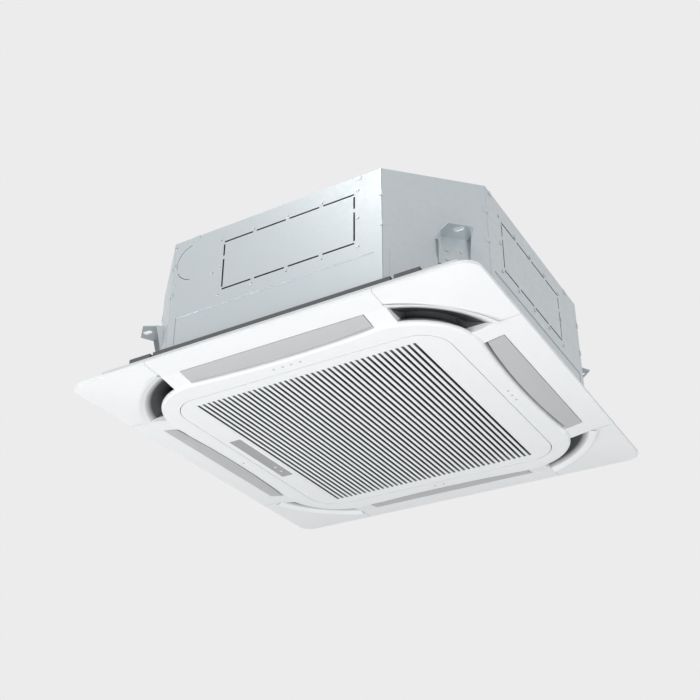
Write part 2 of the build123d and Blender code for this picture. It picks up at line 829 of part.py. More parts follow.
with BuildPart() as foam_strips:
    for turn in TURNS.values():
        with BuildSketch(plan(turn, box_top)):
            with Locations((0, -foam_inner - foam_width / 2)):
                Rectangle(foam_long, foam_width)
            short_x = foam_long / 2 + foam_gap + foam_short / 2
            with Locations(*[(s * short_x, -foam_inner - foam_width / 2) for s in (-1, 1)]):
                Rectangle(foam_short, foam_width)
        extrude(amount=foam_height)
foam_strips.part.label = "foam_strips"
export_step(foam_strips.part, "parts/foam_strips.step")

with BuildPart() as panel_screws:
    with BuildSketch(Plane.XY.offset(screw_seat - screw_head)):
        with GridLocations(2 * screw_x, 2 * screw_y, 2, 2):
            Circle(screw_head_r)
    extrude(amount=screw_head)
    with BuildSketch(Plane.XY.offset(screw_seat)):
        with GridLocations(2 * screw_x, 2 * screw_y, 2, 2):
            Circle(screw_r)
    extrude(amount=box_top + 2 * sheet + 6 - screw_seat)
panel_screws.part.label = "panel_screws"
export_step(panel_screws.part, "parts/panel_screws.step")

# Casing: folded sheet on an octagonal plan
knock_shift = {"front": (37.0, 0.0), "right": (-25.0, -2.0)}
field_screws = [(x, z) for x in (-173, -87, -2, 83, 169) for z in (-70, 70)] + [(-173, 0), (169, 0)]
round_screws = [(-257, 215), (-155, 214), (-260, 317)]
bracket_screws = [(x, z) for x in (-14.7, 14.7) for z in (124.0, 145.5)]
hooks = {"front": (-201, 208), "right": (-240, 190), "back": (-200, 200), "left": (-200, 200)}
hook_width = 14.0
hook_height = 9.0
mitre = 0.6
flange = 14.0
leg_width = 19.0
tab_levels = (265.0, 190.0)
tab_reach = 8.5
tab_height = 12.0
wall_screw_r = 2.0
wall_head_r = 4.2
wall_head = 1.6
cover_low_width = 98.0


def knock_rows():
    """Middles and sizes of the slots round a rectangular knock-out."""
    long_dash = (knock_width - 3 * dash_gap) / 4
    top = knock_height / 2 - 1.5 * dash_width
    rest = 2 * top - dash_short - dash_gap
    rows = []
    for end in (-1, 1):
        for number in range(4):
            x = (number - 1.5) * (long_dash + dash_gap)
            rows.append((x, end * knock_height / 2, long_dash, dash_width))
        rows.append((end * knock_width / 2, top - dash_short / 2, dash_width, dash_short))
        rows.append((end * knock_width / 2, -top + rest / 2, dash_width, rest))
    return rows


def wall_screws(side_name):
    """Screw places on a side face, as distance along it and height."""
    places = []
    if side_name in knock_shift:
        shift, lift = knock_shift[side_name]
        places += [(x + shift, z + knock_z + lift) for x, z in field_screws]
    if side_name == "front":
        places += round_screws
    return places


with BuildPart() as top_plate:
    with BuildSketch(Plane.XY.offset(case_wall_top)):
        octagon(0)
    extrude(amount=sheet)
    with BuildSketch(Plane.XY.offset(case_wall_top - bead_height)):
        with PolarLocations((bead_inner + bead_outer) / 2, 8):
            SlotOverall(bead_outer - bead_inner, bead_width)
    extrude(amount=bead_height)
    with BuildSketch(Plane.XY.offset(case_top)):
        with PolarLocations((bead_inner + bead_outer) / 2, 8):
            SlotOverall(bead_outer - bead_inner - 2 * sheet, bead_width - 2 * sheet)
    extrude(amount=-bead_height, mode=Mode.SUBTRACT)
    for side_name, places in hooks.items():
        with BuildSketch(upright(TURNS[side_name], case_half)):
            with Locations(*[(x, case_top - hook_height / 2) for x in places]):
                Rectangle(hook_width, hook_height)
        extrude(amount=sheet)
top_plate.part.label = "top_plate"
export_step(top_plate.part, "parts/top_plate.step")

# Side panels: an upside-down U whose legs frame the base band
wall_height = case_wall_top - box_top
for side_name, turn in TURNS.items():
    with BuildPart() as side_panel:
        with BuildSketch(upright(turn, case_half)):
            with Locations((0, box_top + wall_height / 2)):
                Rectangle(2 * (case_flat_half - mitre), wall_height)
            with Locations((0, (box_top + band_top) / 2)):
                Rectangle(2 * (case_flat_half - leg_width), band_top - box_top, mode=Mode.SUBTRACT)
            if side_name in knock_shift:
                shift, lift = knock_shift[side_name]
                for x, z, width, height in knock_rows():
                    with Locations((x + shift, z + knock_z + lift)):
                        Rectangle(width, height, mode=Mode.SUBTRACT)
            for x, z in wall_screws(side_name):
                with Locations((x, z)):
                    Circle(wall_screw_r + 0.1, mode=Mode.SUBTRACT)
            if side_name in ("front", "left"):
                with BuildLine() as half_ring:
                    hole_x = round_knock_x
                    outer_r = round_knock_r + round_slot
                    for start in (100, 280):
                        inner = CenterArc((hole_x, round_knock_z), round_knock_r, start, 160)
                        outer = CenterArc((hole_x, round_knock_z), outer_r, start, 160)
                        Line(inner @ 0, outer @ 0)
                        Line(inner @ 1, outer @ 1)
                make_face(mode=Mode.SUBTRACT)
        extrude(amount=-sheet)
        for level in tab_levels:
            for end in (-1, 1):
                reach = tab_reach / sqrt(2)
                lap = sheet * (sqrt(2) - 1)
                outline = [
                    (end * (case_flat_half - 6), -case_half),
                    (end * (case_flat_half - 6), -case_half - sheet),
                    (end * (case_flat_half + lap), -case_half - sheet),
                    (end * (case_flat_half + lap + reach), -case_half - sheet + reach),
                    (end * (case_flat_half + reach + lap - sheet / sqrt(2)), -case_half + reach + lap - sheet / sqrt(2)),
                    (end * case_flat_half, -case_half),
                ]
                with BuildSketch(plan(turn, level - tab_height / 2)):
                    Polygon(*outline, align=None)
                extrude(amount=tab_height)
    side_panel.part.label = side_name + "_side_panel"
    export_step(side_panel.part, "parts/" + side_name + "_side_panel.step")

# Corner plates, flanged behind the side panels
pipe_holes = [
    (inlet_along, inlet_z, pipe_r + 1),
    (outlet_along, outlet_z, pipe_r + 1),
    (drain_along, drain_z, hose_r + 1),
    (grommet_along, grommet_z, grommet_r - 3),
]
for corner, turn in CORNERS.items():
    hand = 1 if turn % 180 == 0 else -1
    with BuildPart() as corner_plate:
        with BuildSketch(upright(turn + 45, corner_face)):
            with Locations((0, box_top + wall_height / 2)):
                Rectangle(2 * (corner_half - mitre), wall_height)
            with Locations((0, (band_top + 170) / 2)):
                Rectangle(dash_width, 170 - band_top, mode=Mode.SUBTRACT)
            for x, z in bracket_screws:
                with Locations((hand * rod_along + x, z)):
                    Circle(wall_screw_r + 0.1, mode=Mode.SUBTRACT)
            if corner == "back_left":
                for along, z, radius in pipe_holes:
                    with Locations((along, z)):
                        Circle(radius, mode=Mode.SUBTRACT)
        extrude(amount=-sheet)
        with BuildSketch(upright(turn + 45, corner_face)):
            cover_x = -hand * (corner_half - 14 - cover_low_width / 2)
            with Locations((cover_x, (box_top + band_top) / 2)):
                Rectangle(cover_low_width, band_top - box_top)
        extrude(amount=sheet)
        for side_turn, end in ((turn, 1), (turn + 90, -1)):
            with BuildSketch(upright(side_turn, case_half - sheet)):
                flange_x = end * (case_flat_half + 0.5 - flange / 2)
                with Locations((flange_x, (base_height + box_top + 1 + case_wall_top) / 2)):
                    Rectangle(flange, case_wall_top - base_height - box_top - 1)
            extrude(amount=-sheet)
    corner_plate.part.label = corner + "_corner_plate"
    export_step(corner_plate.part, "parts/" + corner + "_corner_plate.step")

with BuildPart() as base_frame:
    with BuildSketch(Plane.XY.offset(box_top)):
        octagon(sheet)
        octagon(foot_width, mode=Mode.SUBTRACT)
    extrude(amount=sheet)
    with BuildSketch(Plane.XY.offset(box_top)):
        octagon(sheet)
        octagon(2 * sheet, mode=Mode.SUBTRACT)
    extrude(amount=base_height)
    for turn in CORNERS.values():
        hand = 1 if turn % 180 == 0 else -1
        with BuildSketch(upright(turn + 45, corner_face)):
            for x, z in bracket_screws:
                with Locations((hand * rod_along + x, z)):
                    Circle(wall_screw_r + 0.1)
        extrude(amount=-3 * sheet, mode=Mode.SUBTRACT)
    with BuildSketch(Plane.XY.offset(box_top)):
        with GridLocations(2 * screw_x, 2 * screw_y, 2, 2):
            Circle(screw_r + 0.1)
    extrude(amount=2 * sheet, mode=Mode.SUBTRACT)
base_frame.part.label = "base_frame"
export_step(base_frame.part, "parts/base_frame.step")

with BuildPart() as hanger_brackets:
    for turn in CORNERS.values():
        hand = 1 if turn % 180 == 0 else -1
        shift = hand * rod_along
        with BuildSketch(upright(turn + 45, corner_face)):
            with Locations((shift, (bracket_top + bracket_bottom) / 2)):
                Rectangle(2 * bracket_half, bracket_top - bracket_bottom)
            for x, z in bracket_screws:
                with Locations((shift + x, z)):
                    Circle(wall_screw_r + 0.1, mode=Mode.SUBTRACT)
        extrude(amount=bracket_sheet)
        with BuildSketch(plan(turn + 45, bracket_top - bracket_sheet)):
            root = -corner_face
            Polygon(
                (shift - bracket_half, root),
                (shift - bracket_half, root - bracket_shoulder),
                (shift - bracket_tip_half, root - bracket_reach),
                (shift + bracket_tip_half, root - bracket_reach),
                (shift + bracket_half, root - bracket_shoulder),
                (shift + bracket_half, root),
                align=None,
            )
        extrude(amount=bracket_sheet)
        for end in (-1, 1):
            with BuildSketch(section(turn + 45, shift + end * (bracket_half - bracket_sheet / 2))):
                Polygon(
                    (corner_face, bracket_top),
                    (corner_face + bracket_shoulder, bracket_top),
                    (corner_face + bracket_sheet, bracket_bottom),
                    (corner_face, bracket_bottom),
                    align=None,
                )
            extrude(amount=bracket_sheet / 2, both=True)
    with BuildSketch(Plane.XY.offset(bracket_top)):
        with GridLocations(2 * rod_x, 2 * rod_y, 2, 2):
            SlotOverall(rod_slot, 2 * rod_hole_r)
    extrude(amount=-bracket_sheet, mode=Mode.SUBTRACT)
hanger_brackets.part.label = "hanger_brackets"
export_step(hanger_brackets.part, "parts/hanger_brackets.step")

with BuildPart() as casing_screws:
    for side_name, turn in TURNS.items():
        places = wall_screws(side_name)
        if places:
            with BuildSketch(upright(turn, case_half)):
                with Locations(*places):
                    RegularPolygon(wall_head_r, 6)
            extrude(amount=wall_head)
            with BuildSketch(upright(turn, case_half)):
                with Locations(*places):
                    Circle(wall_screw_r)
            extrude(amount=-sheet)
    for turn in CORNERS.values():
        hand = 1 if turn % 180 == 0 else -1
        places = [(hand * rod_along + x, z) for x, z in bracket_screws]
        with BuildSketch(upright(turn + 45, corner_face + bracket_sheet)):
            with Locations(*places):
                RegularPolygon(wall_head_r, 6)
        extrude(amount=wall_head)
        with BuildSketch(upright(turn + 45, corner_face + bracket_sheet)):
            with Locations(*places):
                Circle(wall_screw_r)
        extrude(amount=-bracket_sheet - 2 * sheet)
casing_screws.part.label = "casing_screws"
export_step(casing_screws.part, "parts/casing_screws.step")

with BuildPart() as insulation_liner:
    with BuildSketch(Plane.XY.offset(pan_bottom)):
        octagon(liner_inset)
    extrude(amount=case_wall_top - bead_height - 0.2 - pan_bottom)
    with BuildSketch(Plane.XY.offset(pan_bottom)):
        octagon(liner_inset + liner_thickness)
    extrude(amount=slab_low - pan_bottom, mode=Mode.SUBTRACT)
    with BuildSketch(Plane.XY.offset(slab_low)):
        Circle(mount_plate_r + 10)
    extrude(amount=case_top - slab_low, mode=Mode.SUBTRACT)
    with BuildSketch(upright(CORNERS["back_left"] + 45, corner_face)):
        for along, z, radius in pipe_holes:
            with Locations((along, z)):
                Circle(radius)
    extrude(amount=-liner_thickness - 10, mode=Mode.SUBTRACT)
    with BuildSketch(Plane.XY.offset(pan_bottom)):
        with GridLocations(2 * screw_x, 2 * screw_y, 2, 2):
            Circle(screw_r + 1)
    extrude(amount=3 * screw_r, mode=Mode.SUBTRACT)
insulation_liner.part.label = "insulation_liner"
export_step(insulation_liner.part, "parts/insulation_liner.step")

# Drain pan: a foam tray with a trough under the coil, bridged to the liner at the pillars
with BuildPart() as drain_pan:
    bridge_low = trough_half - 5
    bridge = liner_inner - 0.2 - bridge_low
    bridge_at = bridge_low + bridge / 2
    pillar = outlet_end + 4 + pan_bridge / 2
    with BuildSketch(Plane.XY.offset(pan_bottom)):
        RectangleRounded(2 * trough_half, 2 * trough_half, trough_corner_r)
        with GridLocations(2 * pillar, 2 * bridge_at, 2, 2):
            Rectangle(pan_bridge, bridge)
        with GridLocations(2 * bridge_at, 2 * pillar, 2, 2):
            Rectangle(bridge, pan_bridge)
        Circle(pan_hole_r, mode=Mode.SUBTRACT)
    extrude(amount=pan_height)
    with BuildSketch(Plane.XY.offset(pan_bottom + pan_floor)):
        trough_outer = trough_half - pan_rim
        RectangleRounded(2 * trough_outer, 2 * trough_outer, trough_corner_r - pan_rim)
        RectangleRounded(2 * trough_inner_half, 2 * trough_inner_half, trough_inner_r, mode=Mode.SUBTRACT)
    extrude(amount=pan_height, mode=Mode.SUBTRACT)
drain_pan.part.label = "drain_pan"
export_step(drain_pan.part, "parts/drain_pan.step")

with BuildPart() as heat_exchanger:
    coil_inner = coil_half - coil_thickness
    with BuildSketch(Plane.XY.offset(coil_low)):
        RectangleRounded(2 * coil_half, 2 * coil_half, coil_corner_r)
        RectangleRounded(2 * coil_inner, 2 * coil_inner, coil_corner_r - coil_thickness, mode=Mode.SUBTRACT)
        with Locations((-coil_open - coil_half / 2, coil_open + coil_half / 2)):
            Rectangle(coil_half, coil_half, mode=Mode.SUBTRACT)
    extrude(amount=coil_high - coil_low)
heat_exchanger.part.label = "heat_exchanger"
export_step(heat_exchanger.part, "parts/heat_exchanger.step")

coil_middle = coil_half - coil_thickness / 2
with BuildPart() as coil_end_plates:
    with BuildSketch(Plane.XY.offset(coil_low)):
        with Locations((-coil_open - end_plate / 2, coil_middle)):
            Rectangle(end_plate, coil_thickness)
        with Locations((-coil_middle, coil_open + end_plate / 2)):
            Rectangle(coil_thickness, end_plate)
    extrude(amount=coil_high - coil_low)
coil_end_plates.part.label = "coil_end_plates"
export_step(coil_end_plates.part, "parts/coil_end_plates.step")

bend_y = coil_open + end_plate
with BuildPart() as return_bends:
    for row in (-1, 1):
        for number in range(4):
            z = coil_high - 40 - number * bend_pitch
            x = -coil_middle + row * bend_r
            with BuildSketch(Plane(origin=(x, bend_y, z + bend_r), x_dir=(1, 0, 0), z_dir=(0, 1, 0))) as tube_end:
                Circle(coil_tube_r)
            revolve(tube_end.sketch, axis=Axis((x, bend_y, z), (-1, 0, 0)), revolution_arc=180)
return_bends.part.label = "return_bends"
export_step(return_bends.part, "parts/return_bends.step")

inlet_foot = back_left(inlet_along, inlet_in, header_low)
outlet_foot = back_left(outlet_along, outlet_in, header_low)
stub_end = -coil_open - end_plate - 0.2
with BuildPart() as coil_headers:
    rise = Vector(0, 0, header_high - header_low)
    for foot in (inlet_foot, outlet_foot):
        tube(foot, foot + rise, header_r)
    for number in range(4):
        z = header_low + 26 + number * 40
        tube(Vector(inlet_foot.X, inlet_foot.Y, z), Vector(stub_end, inlet_foot.Y, z), coil_tube_r)
        bend = coil_half - 6
        tube(Vector(outlet_foot.X, outlet_foot.Y, z), Vector(outlet_foot.X, bend - coil_tube_r, z), coil_tube_r)
        tube(Vector(outlet_foot.X - coil_tube_r, bend, z), Vector(stub_end, bend, z), coil_tube_r)
coil_headers.part.label = "coil_headers"
export_step(coil_headers.part, "parts/coil_headers.step")

for name, along, inward, z in (
    ("water_inlet", inlet_along, inlet_in, inlet_z),
    ("water_outlet", outlet_along, outlet_in, outlet_z),
):
    with BuildPart() as union:
        inner_end = back_left(along, inward - header_r - 0.3, z)
        outer_end = back_left(along, -pipe_out, z)
        tube(inner_end, outer_end, pipe_r)
        with BuildSketch(upright(CORNERS["back_left"] + 45, corner_face + pipe_out - union_length)):
            with Locations((along, z)):
                RegularPolygon(union_r, 6)
        extrude(amount=union_length)
        tube(inner_end, outer_end, pipe_bore_r, Mode.SUBTRACT)
    union.part.label = name
    export_step(union.part, "parts/" + name + ".step")

with BuildPart() as air_vent:
    vent_foot = Vector(outlet_foot.X, outlet_foot.Y, header_high)
    tube(vent_foot, vent_foot + Vector(0, 0, 10), 5)
    tube(vent_foot + Vector(0, 0, 10), vent_foot + Vector(0, 0, 16), 8)
air_vent.part.label = "air_vent"
export_step(air_vent.part, "parts/air_vent.step")

pump_foot = Vector(pump_x, pump_y, coil_low)
pump_head = pump_foot + Vector(0, 0, pump_height)
with BuildPart() as drain_pump:
    tube(pump_foot, pump_foot + Vector(0, 0, pump_height - 20), pump_r)
    tube(pump_foot + Vector(0, 0, pump_height - 20), pump_head, pump_r - 6)
drain_pump.part.label = "drain_pump"
export_step(drain_pump.part, "parts/drain_pump.step")

turn_point = back_left(drain_along, 60, drain_z)
spigot = back_left(drain_along, -pipe_out, drain_z)
with BuildPart() as drain_outlet:
    riser = Vector(pump_x, pump_y, drain_z)
    tube(pump_head + Vector(0, 0, 0.2), riser, hose_r)
    with Locations(riser, turn_point):
        Sphere(hose_r)
    tube(riser, turn_point, hose_r)
    tube(turn_point, spigot, hose_r)
    tube(back_left(drain_along, -4, drain_z), spigot, drain_r)
    tube(back_left(drain_along, socket_depth - pipe_out, drain_z), spigot, socket_r, Mode.SUBTRACT)
drain_outlet.part.label = "drain_outlet"
export_step(drain_outlet.part, "parts/drain_outlet.step")

float_foot = Vector(float_x, float_y, coil_low)
float_low = 8.0
with BuildPart() as float_switch:
    arm_level = pump_head.Z - 20
    tube(float_foot, float_foot + Vector(0, 0, pump_height - 10), float_rod_r)
    tube(float_foot, float_foot + Vector(0, 0, float_low), float_rod_r + 2)
    stop_level = float_foot + Vector(0, 0, float_low + float_height + float_travel + 0.4)
    tube(stop_level, stop_level + Vector(0, 0, 3), float_rod_r + 3)
    arm = Vector(float_x - pump_x, float_y - pump_y, 0)
    reach = arm.length - pump_r + 6
    arm_plane = Plane(origin=(pump_x, pump_y, arm_level + 0.2), x_dir=arm, z_dir=(0, 0, 1))
    with BuildSketch(arm_plane):
        with Locations((arm.length - reach / 2 + 2, 0)):
            Rectangle(reach - 1, 10)
    extrude(amount=3)
float_switch.part.label = "float_switch"
export_step(float_switch.part, "parts/float_switch.step")

with BuildPart() as drain_float:
    float_seat = float_foot + Vector(0, 0, float_low + 0.1)
    tube(float_seat, float_seat + Vector(0, 0, float_height), float_r)
    tube(float_seat, float_seat + Vector(0, 0, float_height), float_rod_r + running_gap, Mode.SUBTRACT)
drain_float.part.label = "drain_float"
export_step(drain_float.part, "parts/drain_float.step")

with BuildPart() as cable_grommet:
    outer_face = back_left(grommet_along, -2, grommet_z)
    tube(back_left(grommet_along, 0, grommet_z), outer_face, grommet_r)
    tube(back_left(grommet_along, sheet + 2, grommet_z), outer_face, grommet_r - 3)
    tube(back_left(grommet_along, sheet + 2, grommet_z), outer_face, grommet_r - 5, Mode.SUBTRACT)
cable_grommet.part.label = "cable_grommet"
export_step(cable_grommet.part, "parts/cable_grommet.step")

# Air path: bellmouth, fan wheel and its motor
with BuildPart() as bellmouth:
    with BuildSketch(Plane.XZ):
        with BuildLine():
            centre_z = bell_low + bell_curve
            throat = bell_r - bell_curve
            diagonal = bell_curve / sqrt(2)
            outer_diagonal = (bell_curve - bell_wall) / sqrt(2)
            Polyline(
                (bell_r, pan_bottom), (bell_flange_r, pan_bottom), (bell_flange_r, bell_low), (bell_r, bell_low)
            )
            ThreePointArc((bell_r, bell_low), (bell_r - diagonal, centre_z - diagonal), (throat, centre_z))
            Polyline(
                (throat, centre_z),
                (throat, centre_z + bell_lip),
                (throat + bell_wall, centre_z + bell_lip),
                (throat + bell_wall, centre_z),
            )
            ThreePointArc(
                (throat + bell_wall, centre_z),
                (bell_r - outer_diagonal, centre_z - outer_diagonal),
                (bell_r, pan_bottom),
            )
        make_face()
    revolve(axis=Axis.Z)
bellmouth.part.label = "bellmouth"
export_step(bellmouth.part, "parts/bellmouth.step")


def polar(radius, angle):
    """Plan point at a radius and an angle in degrees."""
    return (radius * cos(radians(angle)), radius * sin(radians(angle)))


with BuildPart() as blades:
    blade_mid_r = (blade_inner_r + fan_r) / 2
    blade_tip_r = fan_r - 1
    with BuildSketch(Plane.XY.offset(fan_bottom)):
        with BuildLine():
            lead = 57.3 * blade_thickness
            ThreePointArc(
                polar(blade_inner_r, 0), polar(blade_mid_r, 0.36 * blade_sweep), polar(blade_tip_r, blade_sweep)
            )
            ThreePointArc(
                polar(blade_inner_r, lead / blade_inner_r),
                polar(blade_mid_r, 0.36 * blade_sweep + lead / blade_mid_r),
                polar(blade_tip_r, blade_sweep + lead / blade_tip_r),
            )
            Line(polar(blade_inner_r, 0), polar(blade_inner_r, lead / blade_inner_r))
            Line(polar(blade_tip_r, blade_sweep), polar(blade_tip_r, blade_sweep + lead / blade_tip_r))
        make_face()
    extrude(amount=fan_top - fan_bottom)
    with BuildSketch(Plane.XZ):
        Polygon(
            (blade_inner_r - 2, fan_bottom + 18),
            (fan_eye_r + 1, fan_bottom + 13),
            (fan_eye_r + 21, shroud_low - 13),
            (fan_r, shroud_low + fan_wall / 2),
            (fan_r, fan_top - fan_wall / 2),
            (blade_inner_r - 2, fan_top - fan_wall / 2),
            align=None,
        )
    revolve(axis=Axis.Z, mode=Mode.INTERSECT)

with BuildPart() as fan_impeller:
    with BuildSketch(Plane.XZ):
        with BuildLine():
            ThreePointArc(
                (fan_eye_r + fan_wall, fan_bottom), (fan_eye_r + 22, shroud_low - 15), (fan_r, shroud_low)
            )
            Line((fan_r, shroud_low), (fan_r, shroud_low + fan_wall))
            ThreePointArc(
                (fan_r, shroud_low + fan_wall), (fan_eye_r + 20, shroud_low - 12), (fan_eye_r, fan_bottom)
            )
            Line((fan_eye_r, fan_bottom), (fan_eye_r + fan_wall, fan_bottom))
        make_face()
        Polygon(
            (fan_r, fan_top - fan_wall),
            (hub_cone_r + 2, fan_top - fan_wall),
            (hub_r + 1.5, hub_floor),
            (hub_boss_r, hub_floor),
            (hub_boss_r, hub_boss_low),
            (shaft_r, hub_boss_low),
            (shaft_r, hub_floor + fan_wall),
            (hub_r - 0.5, hub_floor + fan_wall),
            (hub_cone_r, fan_top),
            (fan_r, fan_top),
            align=None,
        )
    revolve(axis=Axis.Z)
    with PolarLocations(0, blade_count):
        add(blades.part)
fan_impeller.part.label = "fan_impeller"
export_step(fan_impeller.part, "parts/fan_impeller.step")

with BuildPart() as motor_shaft:
    tube(Vector(0, 0, shaft_low), Vector(0, 0, drive_low + 8), shaft_r)
motor_shaft.part.label = "motor_shaft"
export_step(motor_shaft.part, "parts/motor_shaft.step")

with BuildPart() as fan_nut:
    with BuildSketch(Plane.XY.offset(hub_boss_low - nut_height)):
        RegularPolygon(nut_across / 2, 6, major_radius=False)
        Circle(shaft_r, mode=Mode.SUBTRACT)
    extrude(amount=nut_height)
fan_nut.part.label = "fan_nut"
export_step(fan_nut.part, "parts/fan_nut.step")

mount_top = case_wall_top - bead_height - mount_plate
with BuildPart() as fan_motor:
    tube(Vector(0, 0, drive_low), Vector(0, 0, drive_high), drive_r)
    tube(Vector(0, 0, drive_low - 5), Vector(0, 0, drive_low), drive_boss_r)
    tube(Vector(0, 0, drive_high - 4), Vector(0, 0, drive_high), mount_circle_r + mount_r)
    tube(Vector(0, 0, drive_low - 5), Vector(0, 0, drive_low + 8.2), shaft_r + running_gap, Mode.SUBTRACT)
fan_motor.part.label = "fan_motor"
export_step(fan_motor.part, "parts/fan_motor.step")

with BuildPart() as motor_mounts:
    with BuildSketch(Plane.XY.offset(drive_high)):
        with PolarLocations(mount_circle_r, 3):
            Circle(mount_r)
    extrude(amount=mount_top - drive_high)
motor_mounts.part.label = "motor_mounts"
export_step(motor_mounts.part, "parts/motor_mounts.step")

with BuildPart() as motor_bracket:
    with BuildSketch(Plane.XY.offset(mount_top)):
        Circle(mount_plate_r)
    extrude(amount=mount_plate)
    with BuildSketch(Plane.XY.offset(mount_top + mount_plate)):
        with PolarLocations(mount_circle_r, 3, start_angle=60):
            Circle(mount_r)
    extrude(amount=bead_height)
motor_bracket.part.label = "motor_bracket"
export_step(motor_bracket.part, "parts/motor_bracket.step")

# Control box: a tray under the bellmouth's flange, closed from below
control_high = bell_low - 0.2
tray_low = control_low + control_sheet
with BuildPart() as control_box:
    with BuildSketch(Plane.XY.offset(tray_low)):
        with Locations((control_x, 0)):
            Rectangle(control_width, control_length)
    extrude(amount=control_high - tray_low)
    with BuildSketch(Plane.XY.offset(tray_low)):
        with Locations((control_x, 0)):
            Rectangle(control_width - 2 * control_sheet, control_length - 2 * control_sheet)
    extrude(amount=control_high - control_sheet - tray_low, mode=Mode.SUBTRACT)
    with BuildSketch(Plane.XY.offset(board_level + board_thickness)):
        with Locations((control_x, board_y)):
            with GridLocations(board_width - 12, board_length - 12, 2, 2):
                Circle(3)
    extrude(until=Until.NEXT)
control_box.part.label = "control_box"
export_step(control_box.part, "parts/control_box.step")

with BuildPart() as control_box_cover:
    with BuildSketch(Plane.XY.offset(control_low)):
        with Locations((control_x, 0)):
            Rectangle(control_width, control_length)
    extrude(amount=control_sheet)
control_box_cover.part.label = "control_box_cover"
export_step(control_box_cover.part, "parts/control_box_cover.step")

with BuildPart() as control_board:
    with BuildSketch(Plane.XY.offset(board_level)):
        with Locations((control_x, board_y)):
            Rectangle(board_width, board_length)
    extrude(amount=board_thickness)
    with BuildSketch(Plane.XY.offset(board_level)):
        with Locations((control_x, board_y)):
            with GridLocations(34, 60, 2, 4):
                Rectangle(18, 26)
            with Locations((0, 0), (0, 70)):
                Circle(7)
    extrude(amount=-7)
control_board.part.label = "control_board"
export_step(control_board.part, "parts/control_board.step")

with BuildPart() as terminal_block:
    with BuildSketch(Plane.XY.offset(control_high - control_sheet - 16)):
        with Locations((control_x, terminal_y)):
            Rectangle(28, 70)
    extrude(amount=16)
    with BuildSketch(Plane.XY.offset(control_high - control_sheet - 16)):
        with Locations((control_x, terminal_y)):
            with GridLocations(14, 11, 2, 6):
                Rectangle(8, 8)
    extrude(amount=5, mode=Mode.SUBTRACT)
terminal_block.part.label = "terminal_block"
export_step(terminal_block.part, "parts/terminal_block.step")

with BuildPart() as air_sensor:
    sensor_x = control_x + control_width / 2 + 4
    with BuildSketch(Plane.XZ.offset(-terminal_y)):
        with Locations((sensor_x, 20)):
            Circle(3.8)
    extrude(amount=26)
    with BuildSketch(Plane.XY.offset(14)):
        with Locations((sensor_x - 1.9, terminal_y - 13)):
            Rectangle(3.8, 8)
    extrude(amount=12)
air_sensor.part.label = "air_sensor"
export_step(air_sensor.part, "parts/air_sensor.step")
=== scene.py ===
"""Looks of the ceiling cassette fan coil unit: finishes, small moulded marks, light and camera."""

import bpy
import json
from math import tau
from mathutils import Matrix, Vector


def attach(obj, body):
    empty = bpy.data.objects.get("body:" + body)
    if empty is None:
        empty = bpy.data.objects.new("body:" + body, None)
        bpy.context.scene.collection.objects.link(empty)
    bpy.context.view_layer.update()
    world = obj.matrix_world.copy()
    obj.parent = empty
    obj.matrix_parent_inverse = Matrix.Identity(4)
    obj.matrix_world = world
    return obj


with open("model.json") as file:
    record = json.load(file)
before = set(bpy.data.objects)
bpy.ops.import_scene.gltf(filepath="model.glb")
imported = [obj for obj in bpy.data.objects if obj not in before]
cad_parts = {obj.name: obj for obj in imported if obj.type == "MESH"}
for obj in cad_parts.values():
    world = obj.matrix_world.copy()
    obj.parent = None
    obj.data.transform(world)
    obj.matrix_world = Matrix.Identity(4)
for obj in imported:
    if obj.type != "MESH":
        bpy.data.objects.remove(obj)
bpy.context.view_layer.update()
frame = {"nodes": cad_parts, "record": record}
nodes = frame["nodes"]


# Shader maths written as sums and products of links

class Level:
    """A number on a shader link: sums, products and differences of it add Math nodes."""

    def __init__(self, finish, socket):
        self.finish = finish
        self.socket = socket

    def _math(self, operation, first, second):
        made = self.finish.node("ShaderNodeMath", {"operation": operation}, {0: first, 1: second})
        return Level(self.finish, made.outputs[0])

    def __add__(self, other):
        return self._math("ADD", self, other)

    def __sub__(self, other):
        return self._math("SUBTRACT", self, other)

    def __rsub__(self, other):
        return self._math("SUBTRACT", other, self)

    def __mul__(self, other):
        return self._math("MULTIPLY", self, other)

    def __gt__(self, other):
        return self._math("GREATER_THAN", self, other)

    def __lt__(self, other):
        return self._math("LESS_THAN", self, other)

    def wave(self):
        return self._math("SINE", self, 0.0)

    def size(self):
        return self._math("ABSOLUTE", self, 0.0)

